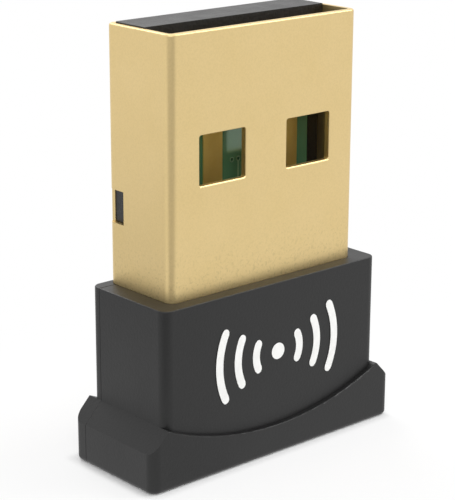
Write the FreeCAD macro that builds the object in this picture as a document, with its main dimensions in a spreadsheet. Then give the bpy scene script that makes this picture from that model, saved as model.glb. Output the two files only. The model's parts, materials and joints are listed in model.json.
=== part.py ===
import FreeCAD, Part
import math
import os
import re
import Sketcher

# Thumb-sized wireless adapter on a type A plug, standing on the closed end of its housing.
# Millimetres, +Z up, the plug's mouth at the top. The origin is the middle of the base's
# flat bottom, +X is to the right and the front, with its two windows, faces -Y.

SIZES = {
    # folded plug shell
    "plug_width": 12.0,
    "plug_depth": 4.7,
    "plug_length": 12.71,
    "plug_corner": 0.45,
    "plug_setback": 0.31,
    "shell_wall": 0.3,
    "shell_foot": 4.2,
    "rim_round": 0.1,
    "window_width": 2.88,
    "window_height": 2.44,
    "window_spacing": 5.54,
    "window_drop": 4.87,
    "window_corner": 0.12,
    "window_round": 0.05,
    "notch_height": 1.65,
    "notch_drop": 7.96,
    "notch_reach": 1.2,
    "notch_bite": 0.2,
    "fold_gap": 0.06,
    "key_drop": 9.9,
    "key_neck": 1.2,
    "key_head": 1.8,
    "key_reach": 0.9,
    "leg_width": 1.4,
    "leg_length": 1.6,
    # two-piece moulded housing
    "housing_top": 8.89,
    "neck_side_wall": 1.03,
    "neck_face_wall": 0.47,
    "neck_corner": 0.5,
    "base_side_flare": 1.0,
    "base_face_flare": 0.27,
    "base_corner": 0.5,
    "base_round": 0.25,
    "base_side": 2.05,
    "shoulder_rise": 1.04,
    "scoop_drop": 1.55,
    "neck_root": 0.4,
    "edge_round": 0.06,
    "seam_bevel": 0.03,
    "lid_depth": 0.68,
    "lid_skin": 0.5,
    "floor_thickness": 0.8,
    "front_thickness": 1.3,
    "slide_fit": 0.02,
    "rib_width": 0.4,
    "rib_height": 2.4,
    "rib_root": 0.1,
    "rib_gap": 0.35,
    "peg_diameter": 0.5,
    "peg_length": 1.2,
    "peg_fit": 0.03,
    "peg_low_level": 1.4,
    "peg_high_drop": 1.62,
    # moulded insert that carries the board
    "tongue_proud": 0.06,
    "plug_reach": 12.2,
    "throat_length": 2.1,
    "lip_height": 1.05,
    "lip_hold": 0.25,
    "rail_wall": 0.66,
    "rail_shelf": 0.4,
    "back_web": 0.28,
    "part_room": 1.15,
    "pocket_end": 1.9,
    "spring_recess": 0.14,
    "bump_inset": 0.24,
    "bump_root": 0.3,
    "board_fit": 0.05,
    # circuit board and its plated strips
    "board_thickness": 0.6,
    "tail_gap": 0.3,
    "via_diameter": 0.2,
    "via_spacing": 0.42,
    "via_drop": 7.08,
    "via_offset": 0.07,
    "contact_width": 1.22,
    "contact_thickness": 0.05,
    "contact_recess": 0.16,
    "contact_inner_spacing": 2.8,
    "contact_outer_spacing": 7.2,
    "contact_outer_drop": 1.5,
    "contact_inner_drop": 2.2,
    "contact_foot_drop": 9.7,
    "copper_thickness": 0.04,
    "antenna_strip": 0.3,
    "antenna_pitch": 0.9,
    "antenna_height": 2.2,
    "antenna_margin": 0.4,
    "solder_leg": 0.4,
    "solder_length": 1.1,
    # places of the packages soldered to the board's back
    "column_inset": 1.35,
    "radio_drop": 9.2,
    "resistor_spacing": 1.6,
    "inductor_drop": 2.9,
    "crystal_drop": 4.0,
    "load_spacing": 5.2,
    "supply_rise": 1.5,
    "memory_offset": 1.9,
    "regulator_offset": 2.2,
    "capacitor_pitch": 0.75,
    # shapes of the packages
    "dimple_diameter": 0.3,
    "dimple_inset": 0.4,
    "dimple_depth": 0.04,
    "can_lid": 0.2,
    "can_inset": 0.2,
    "passive_wide": 0.5,
    "passive_high": 1.0,
    "passive_deep": 0.5,
    "plated_end": 0.25,
    "plated_skin": 0.03,
    # how far a cutting shape reaches past what it cuts
    "cut_margin": 1.0,
}

# Width, height and depth of each larger package. Each becomes a size in the sheet.
PACKAGES = {
    "radio_chip": (4.0, 4.0, 0.6),
    "memory_chip": (2.0, 3.0, 0.55),
    "voltage_regulator": (1.6, 1.6, 0.6),
    "matching_inductor": (0.8, 1.6, 0.6),
    "supply_bead": (0.8, 1.6, 0.6),
    "clock_crystal": (3.2, 2.5, 0.65),
}
for name, numbers in PACKAGES.items():
    for word, number in zip(("wide", "high", "deep"), numbers):
        SIZES[f"{name}_{word}"] = number

ANTENNA_LEGS = 10

# Places that several pieces share, worked out from the sizes above.
SHELL_TOP = "(housing_top + plug_length)"
SHELL_FRONT = "(plug_setback - plug_depth / 2)"
SHELL_BACK = "(plug_setback + plug_depth / 2)"
BORE_HALF = "(plug_width / 2 - shell_wall)"
BORE_FRONT = f"({SHELL_FRONT} + shell_wall)"
BORE_BACK = f"({SHELL_BACK} - shell_wall)"
BORE_CORNER = "(plug_corner - shell_wall)"

NECK_HALF = "(plug_width / 2 + neck_side_wall)"
NECK_BACK = "(plug_depth / 2 + neck_face_wall)"
BASE_HALF = f"({NECK_HALF} + base_side_flare)"
BASE_BACK = f"({NECK_BACK} + base_face_flare)"
SHOULDER = "(base_side + shoulder_rise)"
SCOOP_LOW = f"({SHOULDER} - scoop_drop)"
SEAM = f"({NECK_BACK} - lid_depth)"
BAY_FRONT = f"(front_thickness - {NECK_BACK})"
PEG_ACROSS = "(plug_width / 2 + neck_side_wall / 2)"
PEG_LEVELS = ("peg_low_level", "(housing_top - peg_high_drop)")

# The board lies against the rails of the insert, which fills the back of the mouth.
INSERT_HALF = f"({BORE_HALF} - slide_fit)"
INSERT_BACK = f"({BORE_BACK} - slide_fit)"
POCKET_BACK = f"({INSERT_BACK} - back_web)"
BOARD_BACK = f"({POCKET_BACK} - part_room)"
BOARD_MIDDLE = f"({BOARD_BACK} - board_thickness / 2)"
BOARD_FRONT = f"({BOARD_BACK} - board_thickness)"
TONGUE_FRONT = f"({BOARD_FRONT} - contact_thickness - contact_recess)"
TONGUE_TOP = f"({SHELL_TOP} + tongue_proud)"
LIP_FOOT = f"({TONGUE_TOP} - lip_height)"
THROAT = f"({SHELL_TOP} - plug_reach)"
INSERT_FOOT = f"({THROAT} - throat_length)"
BOARD_BAY_HALF = f"({INSERT_HALF} - rail_wall)"
BOARD_HALF = f"({BOARD_BAY_HALF} - board_fit)"
BOARD_TOP = f"({LIP_FOOT} + lip_hold - board_fit)"
TAIL_HALF = f"({BORE_HALF} - board_fit)"
TAIL_TOP = "(shell_foot - tail_gap)"
SOLDER_FOOT = f"({TAIL_TOP} - board_fit - solder_length)"
LEG_FRONT = f"({BOARD_MIDDLE} - leg_width / 2)"
LEG_BACK = f"({BOARD_MIDDLE} + leg_width / 2)"
WINDOW_TOP = f"({SHELL_TOP} - window_drop)"
WINDOW_FOOT = f"({WINDOW_TOP} - window_height)"
NOTCH_FOOT = f"({SHELL_TOP} - notch_drop - notch_height)"

# Where the middle of each package lies, across the board and up it.
COLUMN = f"({BOARD_HALF} - column_inset)"
RADIO_LEVEL = f"({SHELL_TOP} - radio_drop)"
CRYSTAL_LEVEL = f"({SHELL_TOP} - crystal_drop)"
SUPPLY_LEVEL = "(shell_foot + supply_rise)"
CHIP_PLACES = {
    "radio_chip": ("0", RADIO_LEVEL),
    "memory_chip": ("memory_offset", SUPPLY_LEVEL),
    "voltage_regulator": ("-regulator_offset", SUPPLY_LEVEL),
    "matching_inductor": (COLUMN, f"{RADIO_LEVEL} - inductor_drop"),
    "supply_bead": (f"-{COLUMN}", f"{RADIO_LEVEL} - inductor_drop"),
}
CRYSTAL_PLACES = {
    "clock_crystal": ("0", CRYSTAL_LEVEL),
}
PASSIVE_PLACES = {
    "crystal_capacitor_left": ("-load_spacing / 2", CRYSTAL_LEVEL),
    "crystal_capacitor_right": ("load_spacing / 2", CRYSTAL_LEVEL),
    "supply_capacitor": ("-capacitor_pitch", SUPPLY_LEVEL),
    "regulator_capacitor": ("0", SUPPLY_LEVEL),
    "radio_capacitor": (f"-{COLUMN}", RADIO_LEVEL),
    "reset_resistor": (COLUMN, f"{RADIO_LEVEL} + resistor_spacing / 2"),
    "bus_resistor": (COLUMN, f"{RADIO_LEVEL} - resistor_spacing / 2"),
}

doc = FreeCAD.newDocument("adapter")
sheet = doc.addObject("Spreadsheet::Sheet", "Sizes")
for row, (alias, value) in enumerate(SIZES.items(), start=1):
    sheet.set(f"A{row}", alias)
    sheet.set(f"B{row}", str(value))
    sheet.setAlias(f"B{row}", alias)
doc.recompute()

subparts = []


def linked(formula):
    """The formula with every size in it read from the sheet."""
    return re.sub(r"[a-z][a-z_]*", r"Sizes.\g<0>", formula)


def measure(formula):
    """What the formula comes to, in millimetres."""
    return float(sheet.evalExpression(linked(formula)))


def bind(item, setting, formula):
    item.setExpression(setting, linked(formula))


def new_body(name):
    body = doc.addObject("PartDesign::Body", name)
    body.Label = name
    subparts.append(body)
    return body


def sketch_on(body, name, role, offset):
    """A sketch on one of the body's own origin planes, moved along that plane's normal."""
    sketch = body.newObject("Sketcher::SketchObject", name)
    plane = next(item for item in body.Origin.OriginFeatures if item.Role == role)
    sketch.AttachmentSupport = [(plane, "")]
    sketch.MapMode = "FlatFace"
    bind(sketch, "AttachmentOffset.Base.z", offset)
    return sketch


def level_sketch(body, name, height):
    """A sketch that lies flat at a height, drawn in X and Y."""
    return sketch_on(body, name, "XY_Plane", height)


def front_sketch(body, name, depth):
    """A sketch that stands upright at a depth along Y, drawn in X and Z."""
    return sketch_on(body, name, "XZ_Plane", f"-({depth})")


def side_sketch(body, name, offset):
    """A sketch that stands upright at a place along X, drawn in Y and Z."""
    return sketch_on(body, name, "YZ_Plane", offset)


def pin(sketch, geometry, point, u_formula, v_formula):
    """Holds one point of the sketch at a place that follows the sizes."""
    for kind, formula in (("DistanceX", u_formula), ("DistanceY", v_formula)):
        rule = Sketcher.Constraint(kind, -1, 1, geometry, point, measure(formula))
        bind(sketch, f"Constraints[{sketch.addConstraint(rule)}]", formula)


def fix_radius(sketch, geometry, formula):
    rule = Sketcher.Constraint("Radius", geometry, measure(formula))
    bind(sketch, f"Constraints[{sketch.addConstraint(rule)}]", formula)


def outline(sketch, corners):
    """A closed outline of straight lines, each corner a pair of formulas."""
    first = sketch.GeometryCount
    count = len(corners)
    points = [FreeCAD.Vector(measure(u), measure(v), 0) for u, v in corners]
    for k in range(count):
        sketch.addGeometry(Part.LineSegment(points[k], points[(k + 1) % count]), False)
    for k, (u, v) in enumerate(corners):
        after = first + (k + 1) % count
        sketch.addConstraint(Sketcher.Constraint("Coincident", first + k, 2, after, 1))
        pin(sketch, first + k, 1, u, v)


def rectangle(sketch, left, right, low, high):
    outline(sketch, [(left, low), (right, low), (right, high), (left, high)])


def rounded_rectangle(sketch, half_width, half_depth, middle, radius):
    """A rectangle with rounded corners, centred on X=0 and Y=middle."""
    first = sketch.GeometryCount
    reach = f"({half_width} - ({radius}))"
    rise = f"({half_depth} - ({radius}))"
    for k, (side, end) in enumerate(((1, 1), (-1, 1), (-1, -1), (1, -1))):
        centre = FreeCAD.Vector(side * measure(reach), measure(middle) + end * measure(rise), 0)
        ring = Part.Circle(centre, FreeCAD.Vector(0, 0, 1), measure(radius))
        sketch.addGeometry(Part.ArcOfCircle(ring, k * math.pi / 2, (k + 1) * math.pi / 2), False)
        pin(sketch, first + k, 3, f"{side} * {reach}", f"{middle} + {end} * {rise}")
        fix_radius(sketch, first + k, radius)
    for k in range(4):
        arc, after = first + k, first + (k + 1) % 4
        leave = sketch.getPoint(arc, 2)
        arrive = sketch.getPoint(after, 1)
        line = sketch.addGeometry(Part.LineSegment(leave, arrive), False)
        sketch.addConstraint(Sketcher.Constraint("Tangent", arc, 2, line, 1))
        sketch.addConstraint(Sketcher.Constraint("Tangent", line, 2, after, 1))


def circle(sketch, u_formula, v_formula, diameter):
    centre = FreeCAD.Vector(measure(u_formula), measure(v_formula), 0)
    ring = Part.Circle(centre, FreeCAD.Vector(0, 0, 1), measure(diameter) / 2)
    geometry = sketch.addGeometry(ring, False)
    pin(sketch, geometry, 3, u_formula, v_formula)
    fix_radius(sketch, geometry, f"({diameter}) / 2")


def extrude(body, sketch, kind, name, length, way, both_ways):
    """Pads or pockets a sketch along its normal (way 1) or against it (way -1).

    The normal points up for a level sketch, to the front for a front sketch and to the
    right for a side sketch. A feature that leaves the volume as it was is an error.
    """
    before = body.Shape.Volume if body.Tip else 0
    feature = body.newObject(f"PartDesign::{kind}", name)
    feature.Profile = sketch
    bind(feature, "Length", length)
    feature.Reversed = way > 0 if kind == "Pocket" else way < 0
    feature.Midplane = both_ways
    sketch.Visibility = False
    doc.recompute()
    if abs(body.Shape.Volume - before) < 1e-6:
        raise ValueError(f"{name} changes nothing")
    return feature


def pad(body, sketch, name, length, way=1, both_ways=False):
    return extrude(body, sketch, "Pad", name, length, way, both_ways)


def pocket(body, sketch, name, length, way=1, both_ways=False):
    return extrude(body, sketch, "Pocket", name, length, way, both_ways)


def dress(body, kind, name, size, test):
    """Rounds or bevels the edges of the body that pass the test."""
    base = body.Tip
    chosen = [f"Edge{k}" for k, edge in enumerate(base.Shape.Edges, start=1) if test(edge)]
    feature = body.newObject(f"PartDesign::{kind}", name)
    feature.Base = (base, chosen)
    bind(feature, "Radius" if kind == "Fillet" else "Size", size)
    doc.recompute()
    return feature


def near(value, formula):
    return abs(value - measure(formula)) < 1e-4


def along(edge, axis):
    """Whether an edge is straight and runs along the axis X, Y or Z."""
    if edge.Curve.TypeId != "Part::GeomLine":
        return False
    return abs(getattr(edge.Curve.Direction, axis.lower())) > 0.9999


def flat_at(edge, axis, formula):
    """Whether a whole edge lies in the plane across the axis at that place."""
    box = edge.BoundBox
    low = getattr(box, f"{axis}Min")
    high = getattr(box, f"{axis}Max")
    return near(low, formula) and near(high, formula)


# Housing. Both halves start from the same outer form and are parted at the seam.


def housing_form(body):
    """The outer form: a base with sloped shoulders and a scooped front and back, and a neck."""
    base = front_sketch(body, "base_outline", "0")
    corners = [
        (f"-{NECK_HALF}", SHOULDER),
        (f"-{BASE_HALF}", "base_side"),
        (f"-{BASE_HALF}", "0"),
        (BASE_HALF, "0"),
        (BASE_HALF, "base_side"),
        (NECK_HALF, SHOULDER),
    ]
    points = [FreeCAD.Vector(measure(u), measure(v), 0) for u, v in corners]
    for start, end in zip(points, points[1:]):
        base.addGeometry(Part.LineSegment(start, end), False)
    last_line = len(points) - 2
    for k in range(last_line + 1):
        pin(base, k, 1, *corners[k])
        if k > 0:
            base.addConstraint(Sketcher.Constraint("Coincident", k - 1, 2, k, 1))
    pin(base, last_line, 2, *corners[-1])
    lowest = FreeCAD.Vector(0, measure(SCOOP_LOW), 0)
    scoop = base.addGeometry(Part.Arc(points[0], lowest, points[-1]), False)
    base.addConstraint(Sketcher.Constraint("Coincident", scoop, 1, 0, 1))
    base.addConstraint(Sketcher.Constraint("Coincident", scoop, 2, last_line, 2))
    scoop_radius = f"({NECK_HALF} * {NECK_HALF} + scoop_drop * scoop_drop) / (2 * scoop_drop)"
    scoop_centre = f"{SCOOP_LOW} + {scoop_radius}"
    rule = Sketcher.Constraint("DistanceY", -1, 1, scoop, 3, measure(scoop_centre))
    bind(base, f"Constraints[{base.addConstraint(rule)}]", scoop_centre)
    pad(body, base, "base_block", f"2 * {BASE_BACK}", both_ways=True)

    def bottom_edge(edge):
        return flat_at(edge, "Z", "0")

    def scoop_edge(edge):
        on_face = flat_at(edge, "Y", BASE_BACK) or flat_at(edge, "Y", f"-{BASE_BACK}")
        return on_face and edge.Curve.TypeId == "Part::GeomCircle"

    def neck_top_edge(edge):
        return flat_at(edge, "Z", "housing_top")

    dress(body, "Fillet", "base_corners", "base_corner", lambda edge: along(edge, "Z"))
    dress(body, "Fillet", "base_bottom_edge", "base_round", bottom_edge)
    dress(body, "Fillet", "scoop_edges", "edge_round", scoop_edge)
    neck = level_sketch(body, "neck_outline", f"{SCOOP_LOW} - neck_root")
    rounded_rectangle(neck, NECK_HALF, NECK_BACK, "0", "neck_corner")
    pad(body, neck, "neck_block", f"housing_top + neck_root - {SCOOP_LOW}")
    dress(body, "Fillet", "neck_top_edge", "edge_round", neck_top_edge)


def part_at_seam(body, keep_front):
    """Takes away what belongs to the other moulding, and bevels the seam's outer edge."""
    waste = front_sketch(body, "seam_outline", SEAM)
    reach = f"({BASE_HALF} + cut_margin)"
    rectangle(waste, f"-{reach}", reach, "-cut_margin", "housing_top + cut_margin")
    away = -1 if keep_front else 1
    pocket(body, waste, "seam_cut", f"{SEAM} + {BASE_BACK}", way=away)
    dress(body, "Chamfer", "seam_bevel", "seam_bevel", lambda edge: flat_at(edge, "Y", SEAM))


def shell_seat(body):
    """The slot that holds the lower end of the plug shell."""
    seat = level_sketch(body, "shell_seat_outline", "shell_foot")
    rounded_rectangle(seat, "(plug_width / 2 + slide_fit)", "(plug_depth / 2 + slide_fit)",
                      "plug_setback", "plug_corner + slide_fit")
    pocket(body, seat, "shell_seat", "housing_top - shell_foot")


def housing_body():
    body = new_body("housing_body")
    housing_form(body)
    part_at_seam(body, keep_front=True)
    shell_seat(body)
    bay = level_sketch(body, "tail_bay_outline", "floor_thickness")
    rectangle(bay, f"-{BORE_HALF}", BORE_HALF, BAY_FRONT, f"{SEAM} + cut_margin")
    pocket(body, bay, "tail_bay", "shell_foot - floor_thickness")
    ribs = level_sketch(body, "board_rib_outline", "floor_thickness")
    for side in (1, -1):
        near_side = f"{side} * ({BORE_HALF} - rib_width)"
        far_side = f"{side} * ({BORE_HALF} + rib_root)"
        rectangle(ribs, near_side, far_side, f"{BAY_FRONT} - rib_root", BOARD_FRONT)
    pad(body, ribs, "board_ribs", "rib_height")
    slots = level_sketch(body, "leg_slot_outline", "shell_foot - leg_length - board_fit")
    half = "(plug_width / 2 + slide_fit)"
    rectangle(slots, f"-{half}", half, f"{LEG_FRONT} - slide_fit", f"{LEG_BACK} + slide_fit")
    pocket(body, slots, "leg_slots", "leg_length + board_fit")
    sockets = front_sketch(body, "peg_socket_outline", SEAM)
    for side in (1, -1):
        for level in PEG_LEVELS:
            circle(sockets, f"{side} * {PEG_ACROSS}", level, "peg_diameter + 2 * peg_fit")
    pocket(body, sockets, "peg_sockets", "peg_length + peg_fit")


def housing_lid():
    body = new_body("housing_lid")
    housing_form(body)
    part_at_seam(body, keep_front=False)
    shell_seat(body)
    bay = front_sketch(body, "tail_bay_outline", SEAM)
    rectangle(bay, f"-{BORE_HALF}", BORE_HALF, "floor_thickness", "shell_foot")
    pocket(body, bay, "tail_bay", "lid_depth - lid_skin", way=-1)
    ribs = level_sketch(body, "board_rib_outline", "floor_thickness")
    for side in (1, -1):
        near_side = f"{side} * ({BORE_HALF} - rib_width)"
        far_side = f"{side} * ({BORE_HALF} - board_fit)"
        rectangle(ribs, near_side, far_side, BOARD_BACK, f"{NECK_BACK} - lid_skin + rib_root")
    pad(body, ribs, "board_ribs", f"{SOLDER_FOOT} - rib_gap - floor_thickness")
    pegs = front_sketch(body, "peg_outline", SEAM)
    for side in (1, -1):
        for level in PEG_LEVELS:
            circle(pegs, f"{side} * {PEG_ACROSS}", level, "peg_diameter")
    pad(body, pegs, "pegs", "peg_length")


# Plug shell, folded from sheet with the joint down the middle of the back.


def plug_shell():
    body = new_body("plug_shell")
    outside = level_sketch(body, "outside_outline", "shell_foot")
    rounded_rectangle(outside, "(plug_width / 2)", "(plug_depth / 2)",
                      "plug_setback", "plug_corner")
    pad(body, outside, "outside", f"{SHELL_TOP} - shell_foot")
    dress(body, "Fillet", "mouth_round", "rim_round", lambda edge: flat_at(edge, "Z", SHELL_TOP))
    inside = level_sketch(body, "inside_outline", "shell_foot")
    rounded_rectangle(inside, BORE_HALF, "(plug_depth / 2 - shell_wall)",
                      "plug_setback", BORE_CORNER)
    pocket(body, inside, "inside", f"{SHELL_TOP} - shell_foot")

    window = front_sketch(body, "window_outline", "plug_setback")
    for side in (1, -1):
        inner = f"{side} * (window_spacing - window_width) / 2"
        outer = f"{side} * (window_spacing + window_width) / 2"
        rectangle(window, inner, outer, WINDOW_FOOT, WINDOW_TOP)
    pocket(body, window, "windows", "plug_depth + cut_margin", both_ways=True)

    def window_corner(edge):
        return along(edge, "Y") and abs(edge.Length - measure("shell_wall")) < 1e-4

    def window_edge(edge):
        on_face = flat_at(edge, "Y", SHELL_FRONT) or flat_at(edge, "Y", SHELL_BACK)
        box = edge.BoundBox
        above = box.ZMin > measure(WINDOW_FOOT) - 1e-4
        return on_face and above and box.ZMax < measure(WINDOW_TOP) + 1e-4

    dress(body, "Fillet", "window_corners", "window_corner", window_corner)
    dress(body, "Fillet", "window_edges", "window_round", window_edge)

    notch = level_sketch(body, "notch_outline", NOTCH_FOOT)
    start = f"{SHELL_BACK} - notch_reach"
    clear = f"{SHELL_BACK} + cut_margin"
    for side in (1, -1):
        bore = f"{side} * ({BORE_HALF} - {BORE_CORNER})"
        bite = f"{side} * (plug_width / 2 - notch_bite)"
        beyond = f"{side} * (plug_width / 2 + cut_margin)"
        outline(notch, [(bore, start), (beyond, start), (beyond, clear),
                        (bite, clear), (bite, BORE_BACK), (bore, BORE_BACK)])
    pocket(body, notch, "corner_notches", "notch_height")

    fold = front_sketch(body, "fold_outline", SHELL_BACK)
    gap = "(fold_gap / 2)"
    key_level = f"({SHELL_TOP} - key_drop)"
    beyond_top = f"{SHELL_TOP} + cut_margin"
    beyond_foot = "shell_foot - cut_margin"
    near_side = [
        (f"-{gap}", beyond_foot),
        (f"-{gap}", f"{key_level} - key_neck / 2 + {gap}"),
        (f"key_reach - {gap}", f"{key_level} - key_head / 2 + {gap}"),
        (f"key_reach - {gap}", f"{key_level} + key_head / 2 - {gap}"),
        (f"-{gap}", f"{key_level} + key_neck / 2 - {gap}"),
        (f"-{gap}", beyond_top),
    ]
    far_side = [
        (gap, beyond_top),
        (gap, f"{key_level} + key_neck / 2 + {gap}"),
        (f"key_reach + {gap}", f"{key_level} + key_head / 2 + {gap}"),
        (f"key_reach + {gap}", f"{key_level} - key_head / 2 - {gap}"),
        (gap, f"{key_level} - key_neck / 2 - {gap}"),
        (gap, beyond_foot),
    ]
    outline(fold, near_side + far_side)
    pocket(body, fold, "fold_joint", "shell_wall + cut_margin")

    for side, name in ((1, "right_leg"), (-1, "left_leg")):
        leg = side_sketch(body, f"{name}_outline", f"{side} * {BORE_HALF}")
        rectangle(leg, LEG_FRONT, LEG_BACK, "shell_foot - leg_length", "shell_foot")
        pad(body, leg, name, "shell_wall", way=side)


# Moulded insert: the tongue that fills the back of the mouth and carries the board.


def board_carrier():
    body = new_body("board_carrier")
    throat_front = f"({BORE_FRONT} + slide_fit)"
    tongue = level_sketch(body, "tongue_outline", INSERT_FOOT)
    rectangle(tongue, f"-{INSERT_HALF}", INSERT_HALF, TONGUE_FRONT, INSERT_BACK)
    pad(body, tongue, "tongue", f"{TONGUE_TOP} - {INSERT_FOOT}")
    stop = level_sketch(body, "throat_outline", INSERT_FOOT)
    rectangle(stop, f"-{INSERT_HALF}", INSERT_HALF, throat_front, TONGUE_FRONT)
    pad(body, stop, "throat_block", "throat_length")

    def standing_corner(edge):
        outer = flat_at(edge, "Y", INSERT_BACK) or flat_at(edge, "Y", throat_front)
        return along(edge, "Z") and outer

    dress(body, "Fillet", "standing_corners", BORE_CORNER, standing_corner)

    face = front_sketch(body, "face_outline", TONGUE_FRONT)
    beyond = f"({INSERT_HALF} + cut_margin)"
    rectangle(face, f"-{beyond}", beyond, THROAT, LIP_FOOT)
    pocket(body, face, "recessed_face", "contact_thickness + contact_recess", way=-1)
    bay = level_sketch(body, "board_bay_outline", INSERT_FOOT)
    rectangle(bay, f"-{BOARD_BAY_HALF}", BOARD_BAY_HALF, BOARD_FRONT, BOARD_BACK)
    pocket(body, bay, "board_bay", f"{LIP_FOOT} + lip_hold - {INSERT_FOOT}")
    hollow = level_sketch(body, "part_pocket_outline", INSERT_FOOT)
    half_pocket = f"({BOARD_BAY_HALF} - rail_shelf)"
    rectangle(hollow, f"-{half_pocket}", half_pocket, BOARD_MIDDLE, POCKET_BACK)
    pocket(body, hollow, "part_pocket", f"{TONGUE_TOP} - pocket_end - {INSERT_FOOT}")

    relief = front_sketch(body, "spring_recess_outline", INSERT_BACK)
    for side in (1, -1):
        inner = f"{side} * ((window_spacing - window_width) / 2 - board_fit)"
        outer = f"{side} * ((window_spacing + window_width) / 2 + board_fit)"
        rectangle(relief, inner, outer, f"{WINDOW_FOOT} - board_fit", f"{WINDOW_TOP} + board_fit")
    pocket(body, relief, "spring_recesses", "spring_recess")

    bump = level_sketch(body, "snap_bump_outline", f"{NOTCH_FOOT} + board_fit")
    for side in (1, -1):
        root = f"{side} * ({INSERT_HALF} - bump_root)"
        tip = f"{side} * (plug_width / 2 - bump_inset)"
        rectangle(bump, root, tip, f"{SHELL_BACK} - notch_reach + board_fit", INSERT_BACK)
    pad(body, bump, "snap_bumps", "notch_height - 2 * board_fit")


# Circuit board with its plated contacts and parts.


def circuit_board():
    body = new_body("circuit_board")
    plan = front_sketch(body, "board_outline", BOARD_FRONT)
    outline(plan, [
        (f"-{BOARD_HALF}", BOARD_TOP), (f"-{BOARD_HALF}", TAIL_TOP),
        (f"-{TAIL_HALF}", TAIL_TOP), (f"-{TAIL_HALF}", "floor_thickness"),
        (TAIL_HALF, "floor_thickness"), (TAIL_HALF, TAIL_TOP),
        (BOARD_HALF, TAIL_TOP), (BOARD_HALF, BOARD_TOP),
    ])
    pad(body, plan, "board", "board_thickness", way=-1)
    vias = front_sketch(body, "via_outline", BOARD_FRONT)
    for side in (1, -1):
        across = f"via_offset + {side} * via_spacing / 2"
        circle(vias, across, f"{SHELL_TOP} - via_drop", "via_diameter")
    pocket(body, vias, "via_holes", "board_thickness", way=-1)


def contact(name, across, drop):
    """One plated contact strip on the board's front, under the mouth."""
    body = new_body(name)
    strip = front_sketch(body, f"{name}_outline", BOARD_FRONT)
    rectangle(strip, f"{across} - contact_width / 2", f"{across} + contact_width / 2",
              f"{SHELL_TOP} - contact_foot_drop", f"{SHELL_TOP} - {drop}")
    pad(body, strip, f"{name}_strip", "contact_thickness")


def antenna():
    """A flat copper track that runs to and fro across the board's tail."""
    body = new_body("antenna_track")
    start = f"(0 - {ANTENNA_LEGS - 1} * antenna_pitch / 2 - antenna_strip / 2)"
    foot = "(floor_thickness + antenna_margin)"
    top = f"({foot} + antenna_height)"
    left_bank, right_bank = [], []
    for leg in range(ANTENNA_LEGS):
        near_edge = f"{start} + {leg} * antenna_pitch"
        far_edge = f"{near_edge} + antenna_strip"
        going_up = leg % 2 == 0
        crossing = f"{top} - antenna_strip"
        inner_foot = f"{foot} + antenna_strip"
        if going_up:
            left_bank += [(near_edge, inner_foot if leg > 0 else foot), (near_edge, top)]
            right_bank += [(far_edge, foot), (far_edge, crossing)]
        else:
            last = leg == ANTENNA_LEGS - 1
            left_bank += [(far_edge, top), (far_edge, foot if last else inner_foot)]
            right_bank += [(near_edge, crossing), (near_edge, foot)]
    track = front_sketch(body, "track_outline", BOARD_FRONT)
    outline(track, left_bank + right_bank[::-1])
    pad(body, track, "track", "copper_thickness")


def solder_joint(name, side):
    """A fillet of solder between a shell leg and the back of the board's tail."""
    body = new_body(name)
    wedge = level_sketch(body, f"{name}_outline", SOLDER_FOOT)
    leg_face = f"{side} * {BORE_HALF}"
    outline(wedge, [(leg_face, BOARD_BACK), (leg_face, f"{BOARD_BACK} + solder_leg"),
                    (f"{side} * ({BORE_HALF} - solder_leg)", BOARD_BACK)])
    pad(body, wedge, f"{name}_wedge", "solder_length")


def centred_rectangle(sketch, across, level, half_wide, half_high):
    rectangle(sketch, f"{across} - {half_wide}", f"{across} + {half_wide}",
              f"{level} - {half_high}", f"{level} + {half_high}")


def leadless_chip(name, across, level):
    """A flat moulded package with a dimple beside its first pad."""
    body = new_body(name)
    plan = front_sketch(body, f"{name}_outline", BOARD_BACK)
    centred_rectangle(plan, across, level, f"{name}_wide / 2", f"{name}_high / 2")
    pad(body, plan, "package", f"{name}_deep", way=-1)
    dimple = front_sketch(body, f"{name}_dimple_outline", f"{BOARD_BACK} + {name}_deep")
    circle(dimple, f"{across} - {name}_wide / 2 + dimple_inset",
           f"{level} + {name}_high / 2 - dimple_inset", "dimple_diameter")
    pocket(body, dimple, "dimple", "dimple_depth")


def canned_crystal(name, across, level):
    """A ceramic base with a thin metal lid sealed on it."""
    body = new_body(name)
    base = front_sketch(body, f"{name}_outline", BOARD_BACK)
    centred_rectangle(base, across, level, f"{name}_wide / 2", f"{name}_high / 2")
    pad(body, base, "base", f"{name}_deep - can_lid", way=-1)
    lid = front_sketch(body, f"{name}_lid_outline", f"{BOARD_BACK} + {name}_deep - can_lid")
    centred_rectangle(lid, across, level, f"({name}_wide / 2 - can_inset)",
                      f"({name}_high / 2 - can_inset)")
    pad(body, lid, "lid", "can_lid", way=-1)


def chip_passive(name, across, level):
    """A two-ended ceramic part whose plated ends stand a little proud of its middle."""
    body = new_body(name)
    middle = front_sketch(body, f"{name}_middle_outline", f"{BOARD_BACK} + plated_skin")
    centred_rectangle(middle, across, level, "(passive_wide / 2 - plated_skin)",
                      "(passive_high / 2 - plated_skin)")
    pad(body, middle, "middle", "passive_deep - 2 * plated_skin", way=-1)
    ends = front_sketch(body, f"{name}_ends_outline", BOARD_BACK)
    for side in (1, -1):
        end_level = f"{level} + {side} * (passive_high / 2 - plated_end / 2)"
        centred_rectangle(ends, across, end_level, "passive_wide / 2", "plated_end / 2")
    pad(body, ends, "ends", "passive_deep", way=-1)


def finish():
    """Checks the model and writes each sub-part to its own file."""
    doc.recompute()
    for item in doc.Objects:
        if "Invalid" in item.State or "Error" in item.State:
            raise ValueError(f"{item.Name} has failed: {item.State}")
    for item in subparts:
        if item.Shape.isNull() or not item.Shape.isValid():
            raise ValueError(f"{item.Label} has no valid shape")
    os.makedirs("parts", exist_ok=True)
    for item in subparts:
        item.Shape.exportStep(f"parts/{item.Label}.step")


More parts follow.
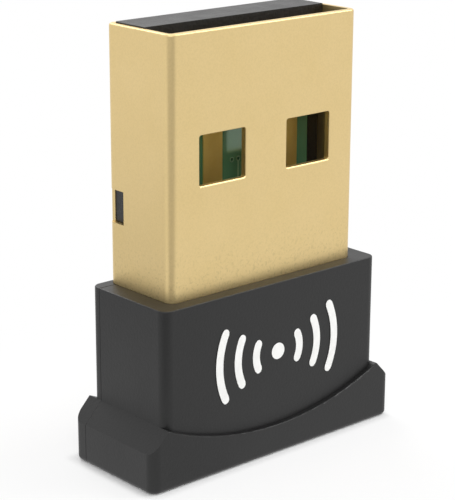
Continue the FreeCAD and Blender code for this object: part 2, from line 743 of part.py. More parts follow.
housing_body()
housing_lid()
plug_shell()
board_carrier()
circuit_board()
contact("contact_power", "-contact_outer_spacing / 2", "contact_outer_drop")
contact("contact_data_minus", "-contact_inner_spacing / 2", "contact_inner_drop")
contact("contact_data_plus", "contact_inner_spacing / 2", "contact_inner_drop")
contact("contact_ground", "contact_outer_spacing / 2", "contact_outer_drop")
antenna()
solder_joint("solder_joint_left", -1)
solder_joint("solder_joint_right", 1)
for name, (across, level) in CHIP_PLACES.items():
    leadless_chip(name, across, level)
for name, (across, level) in CRYSTAL_PLACES.items():
    canned_crystal(name, across, level)
for name, (across, level) in PASSIVE_PLACES.items():
    chip_passive(name, across, level)
finish()
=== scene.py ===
import json
import math
import bmesh
import bpy
from mathutils import Euler, Matrix, Vector


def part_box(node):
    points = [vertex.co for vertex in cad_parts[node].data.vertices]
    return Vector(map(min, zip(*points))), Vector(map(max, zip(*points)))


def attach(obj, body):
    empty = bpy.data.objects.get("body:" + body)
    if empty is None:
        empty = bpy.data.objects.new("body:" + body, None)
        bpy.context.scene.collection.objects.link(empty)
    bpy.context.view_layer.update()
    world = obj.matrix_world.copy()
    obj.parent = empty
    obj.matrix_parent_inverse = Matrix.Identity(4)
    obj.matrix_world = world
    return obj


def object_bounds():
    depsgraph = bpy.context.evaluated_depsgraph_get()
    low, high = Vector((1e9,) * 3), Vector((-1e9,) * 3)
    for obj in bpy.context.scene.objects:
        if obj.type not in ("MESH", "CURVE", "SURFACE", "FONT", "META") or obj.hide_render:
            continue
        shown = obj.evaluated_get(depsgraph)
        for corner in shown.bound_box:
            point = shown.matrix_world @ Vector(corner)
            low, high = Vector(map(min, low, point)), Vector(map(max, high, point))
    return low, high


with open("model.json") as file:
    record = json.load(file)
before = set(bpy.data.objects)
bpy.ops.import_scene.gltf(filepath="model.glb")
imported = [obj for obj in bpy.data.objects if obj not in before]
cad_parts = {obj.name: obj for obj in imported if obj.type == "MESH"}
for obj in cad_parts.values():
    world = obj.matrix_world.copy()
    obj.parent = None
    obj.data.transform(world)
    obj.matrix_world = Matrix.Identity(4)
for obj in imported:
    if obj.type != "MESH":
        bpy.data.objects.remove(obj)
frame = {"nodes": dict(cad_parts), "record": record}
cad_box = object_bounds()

# Thumb-sized wireless adapter on a type A plug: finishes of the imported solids, the printed
# mark on the housing, the copper under the board's green mask, and a pale studio.

MM = 0.001
BODY = "root"


def linear(colour):
    """The linear values of an sRGB hex colour."""
    channels = [int(colour[start:start + 2], 16) / 255 for start in (1, 3, 5)]
    return tuple(value / 12.92 if value <= 0.04045 else ((value + 0.055) / 1.055) ** 2.4
                 for value in channels)


def rgba(colour):
    """An sRGB hex colour as the four values that a colour socket takes."""
    return (*linear(colour), 1.0)


BLACK = rgba("#000000")
WHITE = rgba("#FFFFFF")


def add(tree, kind, values=None, **settings):
    """Adds a node and returns it.

    A value is a number for that socket, another node's output, or another node, which stands
    for the first of its outputs that is in use.
    """
    node = tree.nodes.new(kind)
    for name, setting in settings.items():
        setattr(node, name, setting)
    for socket, value in (values or {}).items():
        if isinstance(value, bpy.types.Node):
            value = next(output for output in value.outputs if output.enabled)
        if isinstance(value, bpy.types.NodeSocket):
            tree.links.new(value, node.inputs[socket])
        else:
            node.inputs[socket].default_value = value
    return node


def empty_material(name):
    """A new material with no nodes yet, and its tree."""
    material = bpy.data.materials.new(name)
    material.use_nodes = True
    material.node_tree.nodes.clear()
    return material, material.node_tree


def put(name, data):
    """Puts a mesh, a lamp or a camera into the scene as an object at the origin."""
    item = bpy.data.objects.new(name, data)
    bpy.context.scene.collection.objects.link(item)
    return item


def bake(name, tree, values):
    """Runs a geometry tree once with these input values and returns its plain mesh object."""
    holder = put(name, bpy.data.meshes.new(name))
    modifier = holder.modifiers.new("build", "NODES")
    modifier.node_group = tree
    identifiers = {item.name: item.identifier for item in tree.interface.items_tree
                   if item.in_out == "INPUT"}
    for label, value in values.items():
        modifier[identifiers[label]] = value
    bpy.context.view_layer.update()
    evaluated = holder.evaluated_get(bpy.context.evaluated_depsgraph_get())
    mesh = bpy.data.meshes.new_from_object(evaluated)
    holder.modifiers.remove(modifier)
    holder.data = mesh
    return holder


def geometry_tree(name, numbers, counts):
    """An empty geometry tree with these named inputs, and the outputs that give their values."""
    tree = bpy.data.node_groups.new(name, "GeometryNodeTree")
    for label in numbers:
        tree.interface.new_socket(label, in_out="INPUT", socket_type="NodeSocketFloat")
    for label in counts:
        tree.interface.new_socket(label, in_out="INPUT", socket_type="NodeSocketInt")
    tree.interface.new_socket("Geometry", in_out="OUTPUT", socket_type="NodeSocketGeometry")
    return tree, add(tree, "NodeGroupInput").outputs


# Materials

MATERIALS = {}

# A noise keeps mostly within these values, which are stretched to the full drift or depth.
# The pits lie where the grain is low.
DRIFT_RANGE = (0.3, 0.7)
PIT_RANGE = (0.6, 0.35)


def grained(name, base, patches, patch_size, patch_share, roughness, roughness_spread,
            grain_size, grain_height, grain_tint=0.0, rolled=None, painted_shade_spots=None, **shader_values):
    """A finish whose colour drifts a little in soft patches over an even, fine grain.

    Sizes are real lengths. Real blasting and spark grain is a few hundredths of a millimetre, and it
    is drawn two or three times as coarse, so that it shows. The colour goes from the base towards the
    patches' colour by no more than the patch share, and the roughness drifts by the spread either way.
    The grain's pits are darker by the tint. Rolled is a function that leans the normal over at an
    edge, and the other function gives how dark each spot of painted shade is.
    """
    material, tree = empty_material(name)
    place = add(tree, "ShaderNodeTexCoord").outputs["Object"]
    drift = add(tree, "ShaderNodeTexNoise", {
        "Vector": place, "Scale": 1 / patch_size, "Detail": 4.0, "Roughness": 0.55,
    })
    share = add(tree, "ShaderNodeMapRange", {
        "Value": drift, "From Min": DRIFT_RANGE[0], "From Max": DRIFT_RANGE[1], "To Max": patch_share,
    })
    colour = add(tree, "ShaderNodeMix", {
        "Factor": share, "A": rgba(base), "B": rgba(patches),
    }, data_type="RGBA")
    rough = add(tree, "ShaderNodeMapRange", {
        "Value": drift, "From Min": DRIFT_RANGE[0], "From Max": DRIFT_RANGE[1],
        "To Min": roughness - roughness_spread, "To Max": roughness + roughness_spread,
    })
    grain = add(tree, "ShaderNodeTexNoise", {
        "Vector": place, "Scale": 1 / grain_size, "Detail": 2.0, "Roughness": 0.6,
    })
    dark = add(tree, "ShaderNodeMapRange", {
        "Value": grain, "From Min": PIT_RANGE[0], "From Max": PIT_RANGE[1], "To Max": grain_tint,
    })
    # Painted shade, where it is given, darkens its spots towards black together with the pits.
    if painted_shade_spots:
        dark = add(tree, "ShaderNodeMath", {0: dark, 1: painted_shade_spots(tree, place)}, operation="MAXIMUM")
    pitted_and_shaded = add(tree, "ShaderNodeMix", {
        "Factor": dark, "A": colour, "B": BLACK,
    }, data_type="RGBA")
    height = add(tree, "ShaderNodeMath", {0: grain, 1: grain_height}, operation="MULTIPLY")
    normal = add(tree, "ShaderNodeBump", {"Height": height, "Distance": 1.0, "Strength": 1.0})
    if rolled:
        normal = rolled(tree, place, normal)
    shader = add(tree, "ShaderNodeBsdfPrincipled", {
        "Base Color": pitted_and_shaded, "Roughness": rough, "Normal": normal, **shader_values,
    })
    add(tree, "ShaderNodeOutputMaterial", {"Surface": shader})
    return material


# The two windows in the shell's front, and the round that the punch leaves along their sills.
WINDOW_FOOT = 14.29 * MM
WINDOW_MIDDLE = 2.77 * MM
WINDOW_HALF = 1.42 * MM
SILL_ROLL = 0.11 * MM
SILL_LEAN = (0.0, -math.sqrt(0.5), math.sqrt(0.5))


def rolled_sills(tree, place, normal):
    """The normal, leant forward and up round the front edge of each window's sill."""
    edge = (0.0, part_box("plug_shell")[0].y, WINDOW_FOOT)
    away = add(tree, "ShaderNodeVectorMath", {0: place, 1: edge}, operation="SUBTRACT")
    size = add(tree, "ShaderNodeVectorMath", {0: away}, operation="ABSOLUTE")
    way = add(tree, "ShaderNodeSeparateXYZ", {"Vector": size}).outputs
    farther = add(tree, "ShaderNodeMath", {0: way["Y"], 1: way["Z"]}, operation="MAXIMUM")
    near = add(tree, "ShaderNodeMapRange", {
        "Value": farther, "From Min": SILL_ROLL, "From Max": 0.0,
    })
    inside = add(tree, "ShaderNodeMath", {
        0: way["X"], 1: WINDOW_MIDDLE, 2: WINDOW_HALF,
    }, operation="COMPARE")
    share = add(tree, "ShaderNodeMath", {0: near, 1: inside}, operation="MULTIPLY")
    leant = add(tree, "ShaderNodeMix", {
        "Factor": share, "A": normal, "B": SILL_LEAN,
    }, data_type="VECTOR")
    return add(tree, "ShaderNodeVectorMath", {0: leant}, operation="NORMALIZE")


# Painted shade on the plating near the housing: the size, reach, spread and depth of its dark specks.
SPECK_SIZE = 0.13 * MM
SPECK_REACH = 4.1 * MM
SPECK_RANGE = (0.52, 0.72)
SPECK_DARKNESS = 0.17


def housing_shade_specks(tree, place):
    """Painted shade: fine dark specks in the plating that thicken towards the housing, where the shell
    mirrors the black housing and its shadow.
    """
    noise = add(tree, "ShaderNodeTexNoise", {
        "Vector": place, "Scale": 1 / SPECK_SIZE, "Detail": 1.0, "Roughness": 0.5,
    })
    specks = add(tree, "ShaderNodeMapRange", {
        "Value": noise, "From Min": SPECK_RANGE[0], "From Max": SPECK_RANGE[1],
        "To Max": SPECK_DARKNESS,
    })
    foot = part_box("housing_body")[1].z
    level = add(tree, "ShaderNodeSeparateXYZ", {"Vector": place}).outputs["Z"]
    near = add(tree, "ShaderNodeMapRange", {
        "Value": level, "From Min": foot + SPECK_REACH, "From Max": foot,
    })
    return add(tree, "ShaderNodeMath", {0: specks, 1: near}, operation="MULTIPLY")


def plug_finishes():
    # Thin gold-coloured plating on folded steel, satin from a light blasting beforehand. It gives a
    # pale straw colour and broad, soft reflections with a fine sparkle of grain. Towards the housing
    # it carries dark specks of painted shade.
    MATERIALS["gold_plate"] = grained(
        "satin_gold_plating", base="#E5CC95", patches="#E0C78D", patch_size=2.5 * MM,
        patch_share=0.4, roughness=0.42, roughness_spread=0.02,
        grain_size=0.09 * MM, grain_height=0.005 * MM, grain_tint=0.045,
        rolled=rolled_sills, painted_shade_spots=housing_shade_specks, Metallic=1.0)
    # Moulded glass-filled nylon: a warm black with a slightly coarser skin than the housing.
    MATERIALS["insert_black"] = grained(
        "moulded_black_nylon", base="#1A1918", patches="#201F1E", patch_size=1.2 * MM,
        patch_share=0.8, roughness=0.45, roughness_spread=0.05,
        grain_size=0.16 * MM, grain_height=0.025 * MM, grain_tint=0.4, IOR=1.53)
    # Hard gold over nickel on copper: smooth, deeper in colour than the shell.
    MATERIALS["contact_gold"] = grained(
        "hard_gold_contact", base="#F3D781", patches="#EACB74", patch_size=0.8 * MM,
        patch_share=0.6, roughness=0.6, roughness_spread=0.05,
        grain_size=0.08 * MM, grain_height=0.0008 * MM, Metallic=1.0)


def housing_finishes():
    # Moulded ABS with a fine spark-eroded texture: near black, matt, a grey bloom at a graze.
    MATERIALS["housing_black"] = grained(
        "moulded_black_abs", base="#0C0C0C", patches="#111111", patch_size=3.0 * MM,
        patch_share=0.8, roughness=0.48, roughness_spread=0.03,
        grain_size=0.14 * MM, grain_height=0.009 * MM, grain_tint=0.3, IOR=1.5)
    # Pad-printed ink: opaque white with a low sheen, its film slightly uneven.
    MATERIALS["white_ink"] = grained(
        "white_pad_ink", base="#F2F2F0", patches="#E6E6E3", patch_size=0.4 * MM,
        patch_share=0.7, roughness=0.4, roughness_spread=0.05,
        grain_size=0.09 * MM, grain_height=0.0012 * MM, IOR=1.5)


# Two small plated holes in the board's front, seen through the left window. Their bores are painted
# shade: dark spots on the mask where the holes go in.
VIA_LEVEL = 14.52 * MM
VIA_PLACES = (-0.14 * MM, 0.28 * MM)
VIA_BORE = 0.09 * MM
VIA_RING = 0.13 * MM


def via_bore_shade(tree, place):
    """Painted shade for the holes: one within either bore and nought on the rest of the board."""
    flat = add(tree, "ShaderNodeVectorMath", {0: place, 1: (1.0, 0.0, 1.0)}, operation="MULTIPLY")
    bores = []
    for across in VIA_PLACES:
        way = add(tree, "ShaderNodeVectorMath", {
            0: flat, 1: (across, 0.0, VIA_LEVEL),
        }, operation="DISTANCE").outputs["Value"]
        bores.append(add(tree, "ShaderNodeMath", {0: way, 1: VIA_BORE}, operation="LESS_THAN"))
    left, right = bores
    return add(tree, "ShaderNodeMath", {0: left, 1: right}, operation="MAXIMUM")


def board_finishes():
    # Green solder mask cured over copper and glass-filled epoxy. It is glossy, and its mirror is
    # stronger and greener than a plain lacquer's, because copper lies close under the film. The bores
    # of its two holes are painted shade.
    MATERIALS["board_green"] = grained(
        "green_solder_mask", base="#4F7A58", patches="#57835F", patch_size=0.9 * MM,
        patch_share=0.8, roughness=0.13, roughness_spread=0.03,
        grain_size=0.25 * MM, grain_height=0.0006 * MM, painted_shade_spots=via_bore_shade, IOR=1.95,
        **{"Specular Tint": rgba("#E7FFE5")})
    # Etched copper under the same mask: a paler, warmer green.
    MATERIALS["copper_track"] = grained(
        "masked_copper_track", base="#7B9B77", patches="#85A27C", patch_size=0.6 * MM,
        patch_share=0.7, roughness=0.16, roughness_spread=0.03,
        grain_size=0.12 * MM, grain_height=0.0008 * MM, IOR=1.55)
    # Moulded epoxy: black with a fine matt skin.
    MATERIALS["chip_black"] = grained(
        "moulded_chip_epoxy", base="#1A1A1C", patches="#222224", patch_size=0.7 * MM,
        patch_share=0.8, roughness=0.5, roughness_spread=0.05,
        grain_size=0.06 * MM, grain_height=0.001 * MM, IOR=1.55)
    # Rolled nickel alloy lid: bright satin.
    MATERIALS["crystal_can"] = grained(
        "satin_nickel_lid", base="#C9C6BE", patches="#B7B4AC", patch_size=0.8 * MM,
        patch_share=0.6, roughness=0.28, roughness_spread=0.05,
        grain_size=0.05 * MM, grain_height=0.0006 * MM, Metallic=1.0)
    # Fired barium ceramic: smooth tan, very slightly speckled.
    MATERIALS["capacitor_tan"] = grained(
        "fired_tan_ceramic", base="#9C7A55", patches="#86673F", patch_size=0.15 * MM,
        patch_share=0.7, roughness=0.38, roughness_spread=0.05,
        grain_size=0.05 * MM, grain_height=0.0006 * MM, IOR=1.6)
    # Overglazed thick film on ceramic: black and slightly glossy.
    MATERIALS["resistor_black"] = grained(
        "glazed_black_film", base="#1C1C1F", patches="#26262A", patch_size=0.2 * MM,
        patch_share=0.7, roughness=0.25, roughness_spread=0.04,
        grain_size=0.05 * MM, grain_height=0.0005 * MM, IOR=1.55)
    # Sintered ferrite: dull dark grey with a fine tooth.
    MATERIALS["ferrite_grey"] = grained(
        "sintered_grey_ferrite", base="#4A4A4C", patches="#3C3C3E", patch_size=0.2 * MM,
        patch_share=0.7, roughness=0.6, roughness_spread=0.05,
        grain_size=0.05 * MM, grain_height=0.001 * MM, IOR=1.6)
    # Reflowed tin solder: bright with a frosted drift.
    MATERIALS["solder"] = grained(
        "reflowed_tin_solder", base="#CFD0D0", patches="#B9BABB", patch_size=0.3 * MM,
        patch_share=0.7, roughness=0.24, roughness_spread=0.08,
        grain_size=0.08 * MM, grain_height=0.001 * MM, Metallic=1.0)


def dress_nodes():
    """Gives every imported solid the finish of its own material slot."""
    slots = {part["node"]: part["material_slot"] for part in frame["record"]["subparts"]}
    for name, node in frame["nodes"].items():
        for holder in node.material_slots:
            holder.material = MATERIALS[slots[name]]


# Copper on the board's front, seen through the left window: the rings of the two plated holes
# and the tracks that run down from there under the mask.

RING_STEPS = 32
TRACK_WIDTH = 0.11 * MM
TRACK_FOOT = 10.6 * MM
TRACK_STEP = 0.22 * MM
COPPER_FILM = 0.02 * MM


def flat_ring_tree(material):
    """Flat rings in a row along X, each with its bore along Y and its front towards -Y."""
    tree, sizes = geometry_tree("flat_rings", ("Spacing", "Middle Radius", "Wall", "Film"), ("Count",))
    step = add(tree, "ShaderNodeCombineXYZ", {"X": sizes["Spacing"]})
    row = add(tree, "GeometryNodeMeshLine", {"Count": sizes["Count"], "Offset": step})
    circle = add(tree, "GeometryNodeCurvePrimitiveCircle", {
        "Resolution": RING_STEPS, "Radius": sizes["Middle Radius"],
    })
    section = add(tree, "GeometryNodeCurvePrimitiveQuadrilateral", {
        "Width": sizes["Wall"], "Height": sizes["Film"],
    })
    ring = add(tree, "GeometryNodeCurveToMesh", {"Curve": circle, "Profile Curve": section})
    upright = add(tree, "GeometryNodeTransform", {
        "Geometry": ring, "Rotation": (math.pi / 2, 0.0, 0.0),
    })
    placed = add(tree, "GeometryNodeInstanceOnPoints", {"Points": row, "Instance": upright})
    plain = add(tree, "GeometryNodeRealizeInstances", {"Geometry": placed})
    dressed = add(tree, "GeometryNodeSetMaterial", {"Geometry": plain, "Material": material})
    add(tree, "NodeGroupOutput", {"Geometry": dressed})
    return tree


def via_rings():
    """The copper rings round the two holes, seated on the board's front."""
    left, right = VIA_PLACES
    rings = bake("via_rings", flat_ring_tree(MATERIALS["copper_track"]), {
        "Spacing": right - left, "Middle Radius": (VIA_BORE + VIA_RING) / 2,
        "Wall": VIA_RING - VIA_BORE, "Film": COPPER_FILM, "Count": len(VIA_PLACES),
    })
    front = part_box("circuit_board")[0].y - COPPER_FILM / 2
    rings.data.transform(Matrix.Translation((left, front, VIA_LEVEL)))
    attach(rings, BODY)


def add_track(form, route, front):
    """One flat strip of copper along a route of places across the board and levels."""
    sides = []
    for number, spot in enumerate(route):
        here = Vector(spot)
        before = Vector(route[max(number - 1, 0)])
        after = Vector(route[min(number + 1, len(route) - 1)])
        along = (after - before).normalized()
        across = Vector((-along.y, along.x)) * (TRACK_WIDTH / 2)
        corners = ((here - across, 0.0), (here - across, COPPER_FILM),
                   (here + across, COPPER_FILM), (here + across, 0.0))
        sides.append([form.verts.new((edge.x, front - lift, edge.y)) for edge, lift in corners])
    for start, end in zip(sides, sides[1:]):
        for corner in range(len(start)):
            following = (corner + 1) % len(start)
            form.faces.new((start[corner], start[following], end[following], end[corner]))
    form.faces.new(sides[0][::-1])
    form.faces.new(sides[-1])


def masked_tracks():
    """Flat tracks under the mask: one from the right hole, and one that comes in beside it."""
    first = VIA_PLACES[1]
    second = first + TRACK_STEP
    turn = VIA_LEVEL - TRACK_STEP
    start = (second + 2 * TRACK_STEP, turn + 2 * TRACK_STEP)
    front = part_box("circuit_board")[0].y
    form = bmesh.new()
    add_track(form, ((first, VIA_LEVEL - VIA_BORE), (first, TRACK_FOOT)), front)
    add_track(form, (start, (second, turn), (second, TRACK_FOOT)), front)
    bmesh.ops.recalc_face_normals(form, faces=form.faces)
    mesh = bpy.data.meshes.new("masked_tracks")
    form.to_mesh(mesh)
    form.free()
    mesh.materials.append(MATERIALS["copper_track"])
    tracks = put("masked_tracks", mesh)
    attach(tracks, BODY)


# Printed mark: a dot between rings that spread to both sides, in one thin film of ink.

MARK_MIDDLE = (0.2 * MM, 5.33 * MM)
MARK_DOT = 0.42 * MM
MARK_FIRST = 1.45 * MM
MARK_SPACING = 1.2 * MM
MARK_RINGS = 3
MARK_STROKE = 0.45 * MM
MARK_SWEEP = math.radians(26)
MARK_FILM = 0.012 * MM
DOT_STEPS = 64
STRIP_STEPS = {"Vertices X": 49, "Vertices Y": 9, "Vertices Z": 2}
NECK_SLICE = 1 * MM


def ring_mark_tree(ink):
    """Arcs with round ends about a dot, drawn flat in X and Y with the film's height in Z."""
    numbers = ("Dot Radius", "First Radius", "Spacing", "Stroke", "Sweep", "Film")
    tree, sizes = geometry_tree("ring_mark", numbers, ("Rings",))
    half_film = add(tree, "ShaderNodeMath", {0: sizes["Film"], 1: 0.5}, operation="MULTIPLY")
    half_stroke = add(tree, "ShaderNodeMath", {0: sizes["Stroke"], 1: 0.5}, operation="MULTIPLY")

    # One strip for each ring, as a fine slab two units square that remembers its number.
    points = add(tree, "GeometryNodeMeshLine", {"Count": sizes["Rings"]})
    numbered = add(tree, "GeometryNodeStoreNamedAttribute", {
        "Geometry": points, "Name": "ring", "Value": add(tree, "GeometryNodeInputIndex"),
    }, data_type="INT", domain="POINT")
    still = add(tree, "GeometryNodeSetPosition", {
        "Geometry": numbered, "Position": (0.0, 0.0, 0.0),
    })
    slab = add(tree, "GeometryNodeMeshCube", {"Size": (2.0, 2.0, 1.0), **STRIP_STEPS})
    strips = add(tree, "GeometryNodeInstanceOnPoints", {"Points": still, "Instance": slab})
    loose = add(tree, "GeometryNodeRealizeInstances", {"Geometry": strips})

    # Each strip is bent to its ring, longer along its middle so that its ends are round.
    ring = add(tree, "GeometryNodeInputNamedAttribute", {"Name": "ring"}, data_type="INT")
    position = add(tree, "GeometryNodeInputPosition")
    spot = add(tree, "ShaderNodeSeparateXYZ", {"Vector": position}).outputs
    middle = add(tree, "ShaderNodeMath", {
        0: ring, 1: sizes["Spacing"], 2: sizes["First Radius"],
    }, operation="MULTIPLY_ADD")
    radius = add(tree, "ShaderNodeMath", {
        0: spot["Y"], 1: half_stroke, 2: middle,
    }, operation="MULTIPLY_ADD")
    slant = add(tree, "ShaderNodeMath", {0: spot["Y"]}, operation="ARCSINE")
    bulge = add(tree, "ShaderNodeMath", {0: slant}, operation="COSINE")
    cap = add(tree, "ShaderNodeMath", {0: bulge, 1: half_stroke}, operation="MULTIPLY")
    cap_sweep = add(tree, "ShaderNodeMath", {0: cap, 1: middle}, operation="DIVIDE")
    reach = add(tree, "ShaderNodeMath", {0: sizes["Sweep"], 1: cap_sweep}, operation="ADD")
    angle = add(tree, "ShaderNodeMath", {0: spot["X"], 1: reach}, operation="MULTIPLY")
    height = add(tree, "ShaderNodeMath", {
        0: spot["Z"], 1: sizes["Film"], 2: half_film,
    }, operation="MULTIPLY_ADD")
    straight = add(tree, "ShaderNodeCombineXYZ", {"X": radius, "Z": height})
    bent = add(tree, "ShaderNodeVectorRotate", {
        "Vector": straight, "Angle": angle,
    }, rotation_type="Z_AXIS", invert=True)
    arcs = add(tree, "GeometryNodeSetPosition", {"Geometry": loose, "Position": bent})
    opposite = add(tree, "GeometryNodeTransform", {
        "Geometry": arcs, "Rotation": (0.0, 0.0, math.pi),
    })

    # The dot, lifted so that the whole mark lies on the level Z = 0.
    dot = add(tree, "GeometryNodeMeshCylinder", {
        "Vertices": DOT_STEPS, "Radius": sizes["Dot Radius"], "Depth": sizes["Film"],
    }, fill_type="NGON")
    lift = add(tree, "ShaderNodeCombineXYZ", {"Z": half_film})
    seated = add(tree, "GeometryNodeTransform", {
        "Geometry": dot.outputs["Mesh"], "Translation": lift,
    })
    whole = add(tree, "GeometryNodeJoinGeometry")
    for piece in (arcs, opposite, seated):
        tree.links.new(piece.outputs["Geometry"], whole.inputs["Geometry"])
    plain = add(tree, "GeometryNodeRealizeInstances", {"Geometry": whole})
    inked = add(tree, "GeometryNodeSetMaterial", {"Geometry": plain, "Material": ink})
    add(tree, "NodeGroupOutput", {"Geometry": inked})
    return tree


def neck_front_place():
    """How far forward the housing's neck stands, read from its top slice, which is all neck."""
    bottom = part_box("housing_body")[1].z - NECK_SLICE
    vertices = frame["nodes"]["housing_body"].data.vertices
    return min(vertex.co.y for vertex in vertices if vertex.co.z > bottom)


def front_mark():
    """The mark in white ink on the front of the housing's neck."""
    mark = bake("front_mark", ring_mark_tree(MATERIALS["white_ink"]), {
        "Dot Radius": MARK_DOT, "First Radius": MARK_FIRST, "Spacing": MARK_SPACING,
        "Stroke": MARK_STROKE, "Sweep": MARK_SWEEP, "Film": MARK_FILM, "Rings": MARK_RINGS,
    })
    across, level = MARK_MIDDLE
    upright = Matrix.Rotation(math.pi / 2, 4, "X")
    mark.data.transform(Matrix.Translation((across, neck_front_place(), level)) @ upright)
    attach(mark, BODY)


# Studio

FLOOR_HALF = 600 * MM
FLOOR_ALBEDO = "#FAFAFA"
# How near to plain white the floor is shown, just beside the footprint and far off. Where the adapter
# meets it, nothing is added. The added white is painted light, which lifts the adapter's shadow more
# the farther the floor is from the footprint.
WHITE_BESIDE = 0.7
WHITE_FAR = 1.0
BESIDE_REACH = 0.6 * MM
FAR_REACH = 18 * MM
WORLD_LIGHT = 0.56
LAMP_TARGET = Vector((0.0, 0.0, 10.0)) * MM
SOFTBOXES = {
    # name: size and place in metres, power in watts
    "overhead_softbox": (0.20, (0.02, -0.04, 0.42), 0.10),
    "front_softbox": (0.20, (-0.22, -0.26, 0.22), 0.60),
    "right_softbox": (0.18, (0.265, -0.126, 0.302), 0.55),
    "back_softbox": (0.18, (0.08, 0.302, 0.281), 0.45),
}

# Grey cards that only reflections see, which darken the faces that mirror them. One rises
# from the adapter's front left corner towards the camera, and one lies flat to the left of
# the adapter and behind it. A direction is in degrees from the front, towards the right.
CARD_CORNER = (-7.9 * MM, -3.1 * MM)
CARDS = {
    # name: grey, then for each end its reach from the corner, its level and its two directions
    "front_card": ("#BEBEBE", (12 * MM, 1 * MM, (-85, -15)), (110 * MM, 70 * MM, (-72, 26))),
    "left_card": ("#C4C4C4", (26 * MM, 0.5 * MM, (-170, -115)), (46 * MM, 0.5 * MM, (-170, -115))),
}

# How the photograph was taken, worked out from the plug shell's known size. The lens and the
# sensor are in millimetres, as Blender takes them, and the shift is in sensor heights.
CAMERA_TARGET = Vector((-0.801, 0.226, 9.739)) * MM
CAMERA_DISTANCE = 85.006 * MM
CAMERA_AZIMUTH = math.radians(-41.243)
CAMERA_ELEVATION = math.radians(17.015)
CAMERA_ROLL = math.radians(0.155)
CAMERA_LENS = 123.41
CAMERA_SENSOR = 36.0
CAMERA_SHIFT = (0.01015, 0.01146)
CAMERA_CLIP = (0.001, 10.0)


def seen_directly(tree, by_camera=1.0):
    """One for rays from a gloss or a clear piece, the given share for the camera's, else nought."""
    ray = add(tree, "ShaderNodeLightPath").outputs
    to_camera = add(tree, "ShaderNodeMath", {
        0: ray["Is Camera Ray"], 1: by_camera,
    }, operation="MULTIPLY")
    mirrored = add(tree, "ShaderNodeMath", {
        0: ray["Is Glossy Ray"], 1: ray["Is Transmission Ray"],
    }, operation="MAXIMUM")
    return add(tree, "ShaderNodeMath", {0: to_camera, 1: mirrored}, operation="MAXIMUM")


def whiteness(tree):
    """The floor's share of painted white, which grows with the way from the footprint and lifts the
    adapter's shadow there.
    """
    low, high = (Vector((corner[0], corner[1], 0.0)) for corner in cad_box)
    place = add(tree, "ShaderNodeTexCoord").outputs["Object"]
    away = add(tree, "ShaderNodeVectorMath", {0: place, 1: (low + high) / 2}, operation="SUBTRACT")
    size = add(tree, "ShaderNodeVectorMath", {0: away}, operation="ABSOLUTE")
    past = add(tree, "ShaderNodeVectorMath", {0: size, 1: (high - low) / 2}, operation="SUBTRACT")
    outside = add(tree, "ShaderNodeVectorMath", {0: past, 1: (0.0, 0.0, 0.0)}, operation="MAXIMUM")
    way = add(tree, "ShaderNodeVectorMath", {0: outside}, operation="LENGTH").outputs["Value"]
    near = add(tree, "ShaderNodeMapRange", {
        "Value": way, "From Max": BESIDE_REACH, "To Max": WHITE_BESIDE,
    }, interpolation_type="SMOOTHSTEP")
    far = add(tree, "ShaderNodeMapRange", {
        "Value": way, "From Max": FAR_REACH, "To Max": WHITE_FAR - WHITE_BESIDE,
    }, interpolation_type="SMOOTHSTEP")
    return add(tree, "ShaderNodeMath", {0: near, 1: far}, operation="ADD")


def floor():
    """A pale sheet that the adapter stands on, nearer to white where it is looked at."""
    material, tree = empty_material("white_paper_sheet")
    sheet = add(tree, "ShaderNodeBsdfDiffuse", {"Color": rgba(FLOOR_ALBEDO)})
    white = add(tree, "ShaderNodeEmission", {"Color": WHITE, "Strength": 1.0})
    shader = add(tree, "ShaderNodeMixShader", {
        0: seen_directly(tree, whiteness(tree)), 1: sheet, 2: white,
    })
    add(tree, "ShaderNodeOutputMaterial", {"Surface": shader})
    mesh = bpy.data.meshes.new("floor")
    corners = [(x * FLOOR_HALF, y * FLOOR_HALF, 0.0) for x, y in ((-1, -1), (1, -1), (1, 1), (-1, 1))]
    mesh.from_pydata(corners, [], [(0, 1, 2, 3)])
    mesh.materials.append(material)
    put("floor", mesh)


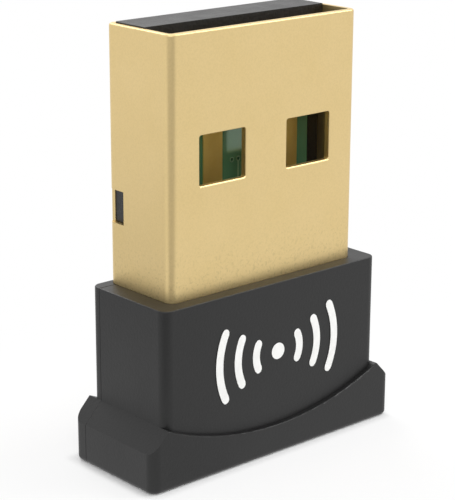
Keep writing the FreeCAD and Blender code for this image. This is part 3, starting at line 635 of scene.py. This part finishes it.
def reflection_card(name, grey, near, far):
    """A card between two level edges, each at its own reach from the adapter's corner."""
    material, tree = empty_material(name + "_grey")
    shader = add(tree, "ShaderNodeEmission", {"Color": rgba(grey), "Strength": 1.0})
    add(tree, "ShaderNodeOutputMaterial", {"Surface": shader})
    corners = []
    for reach, level, directions in (near, far):
        for direction in directions:
            angle = math.radians(direction)
            across = CARD_CORNER[0] + math.sin(angle) * reach
            along = CARD_CORNER[1] - math.cos(angle) * reach
            corners.append((across, along, level))
    mesh = bpy.data.meshes.new(name)
    mesh.from_pydata(corners, [], [(0, 1, 3, 2)])
    mesh.materials.append(material)
    card = put(name, mesh)
    card.visible_camera = False
    card.visible_diffuse = False
    card.visible_transmission = False
    card.visible_shadow = False


def surroundings():
    """An even white world, at full white where the camera or a reflection sees it."""
    world = bpy.data.worlds.new("studio")
    world.use_nodes = True
    tree = world.node_tree
    tree.nodes.clear()
    level = add(tree, "ShaderNodeMapRange", {
        "Value": seen_directly(tree), "To Min": WORLD_LIGHT, "To Max": 1.0,
    })
    sky = add(tree, "ShaderNodeBackground", {"Color": WHITE, "Strength": level})
    add(tree, "ShaderNodeOutputWorld", {"Surface": sky})
    bpy.context.scene.world = world


def softboxes():
    """Large square lamps about the adapter, each aimed at its middle."""
    for name, (size, place, power) in SOFTBOXES.items():
        light = bpy.data.lights.new(name, "AREA")
        light.shape = "SQUARE"
        light.size = size
        light.energy = power
        lamp = put(name, light)
        lamp.location = place
        aim = LAMP_TARGET - Vector(place)
        lamp.rotation_euler = aim.to_track_quat("-Z", "Y").to_euler()


def camera():
    """The camera, placed and set as it was for the photograph."""
    data = bpy.data.cameras.new("camera")
    data.lens = CAMERA_LENS
    data.sensor_fit = "VERTICAL"
    data.sensor_height = CAMERA_SENSOR
    data.shift_x, data.shift_y = CAMERA_SHIFT
    data.clip_start, data.clip_end = CAMERA_CLIP
    item = put("camera", data)
    level = math.cos(CAMERA_ELEVATION)
    back = Vector((math.sin(CAMERA_AZIMUTH) * level, -math.cos(CAMERA_AZIMUTH) * level,
                   math.sin(CAMERA_ELEVATION)))
    item.location = CAMERA_TARGET + back * CAMERA_DISTANCE
    aimed = Euler((math.pi / 2 - CAMERA_ELEVATION, 0.0, CAMERA_AZIMUTH)).to_matrix()
    item.rotation_euler = (aimed @ Matrix.Rotation(CAMERA_ROLL, 3, "Z")).to_euler()
    bpy.context.scene.camera = item


bpy.context.scene.view_settings.view_transform = "Standard"
plug_finishes()
housing_finishes()
board_finishes()
dress_nodes()
via_rings()
masked_tracks()
front_mark()
floor()
for card, makings in CARDS.items():
    reflection_card(card, *makings)
surroundings()
softboxes()
camera()
